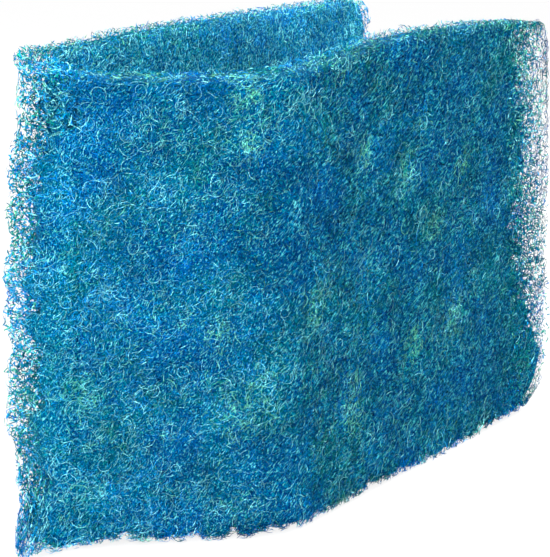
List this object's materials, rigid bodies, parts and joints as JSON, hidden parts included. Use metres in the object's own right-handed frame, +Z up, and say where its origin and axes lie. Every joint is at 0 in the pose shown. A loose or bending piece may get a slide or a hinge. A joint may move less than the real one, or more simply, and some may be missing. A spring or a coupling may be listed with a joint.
{
  "type": "folded fibre filter mat",
  "caption": "Thick mat of curled, bonded fibre for pond and aquarium filters, folded in two and standing on a long cut edge, with a fold that springs open.",
  "frame": {"origin": "centre of the footprint, on the floor", "axes": "+Z up; +X runs from the fold along the near panel of the front leaf; -Y is the side that the near panel faces"},
  "size_m": [0.5468, 0.477, 0.4],
  "materials": {
    "face_fibre": "matt bonded curled fibre, blue with teal and pale green strands",
    "core_fibre": "matt bonded curled fibre, in the shade of the face"
  },
  "bodies": {
    "front_near": {"front_near_outer_face_web": "face_fibre", "front_near_outer_core_web": "core_fibre", "front_near_inner_core_web": "core_fibre", "front_near_inner_face_web": "face_fibre", "front_bend_outer_face_web": "face_fibre", "front_bend_outer_core_web": "core_fibre", "front_bend_inner_core_web": "core_fibre", "front_bend_inner_face_web": "face_fibre", "fold_outer_face_web": "face_fibre", "fold_outer_core_web": "core_fibre", "fold_inner_core_web": "core_fibre", "fold_inner_face_web": "face_fibre"},
    "front_far": {"front_far_outer_face_web": "face_fibre", "front_far_outer_core_web": "core_fibre", "front_far_inner_core_web": "core_fibre", "front_far_inner_face_web": "face_fibre"},
    "back_leaf": {"back_outer_face_web": "face_fibre", "back_outer_core_web": "core_fibre", "back_inner_core_web": "core_fibre", "back_inner_face_web": "face_fibre"}
  },
  "joints": [
    {"name": "fold_hinge", "type": "hinge", "parent": "front_near", "child": "back_leaf", "pos_m": [-0.2234, -0.18847, 0], "axis": [0, 0, 1], "range_deg": [-12, 132.5], "stiffness_Nm_per_rad": 0.15, "deforming": ["fold_outer_face_web", "fold_outer_core_web", "fold_inner_core_web", "fold_inner_face_web"]},
    {"name": "front_flex", "type": "hinge", "parent": "front_near", "child": "front_far", "pos_m": [-0.0724, -0.18047, 0], "axis": [0, 0, 1], "range_deg": [-40.5, 6], "stiffness_Nm_per_rad": 0.15, "deforming": ["front_bend_outer_face_web", "front_bend_outer_core_web", "front_bend_inner_core_web", "front_bend_inner_face_web"]}
  ]
}
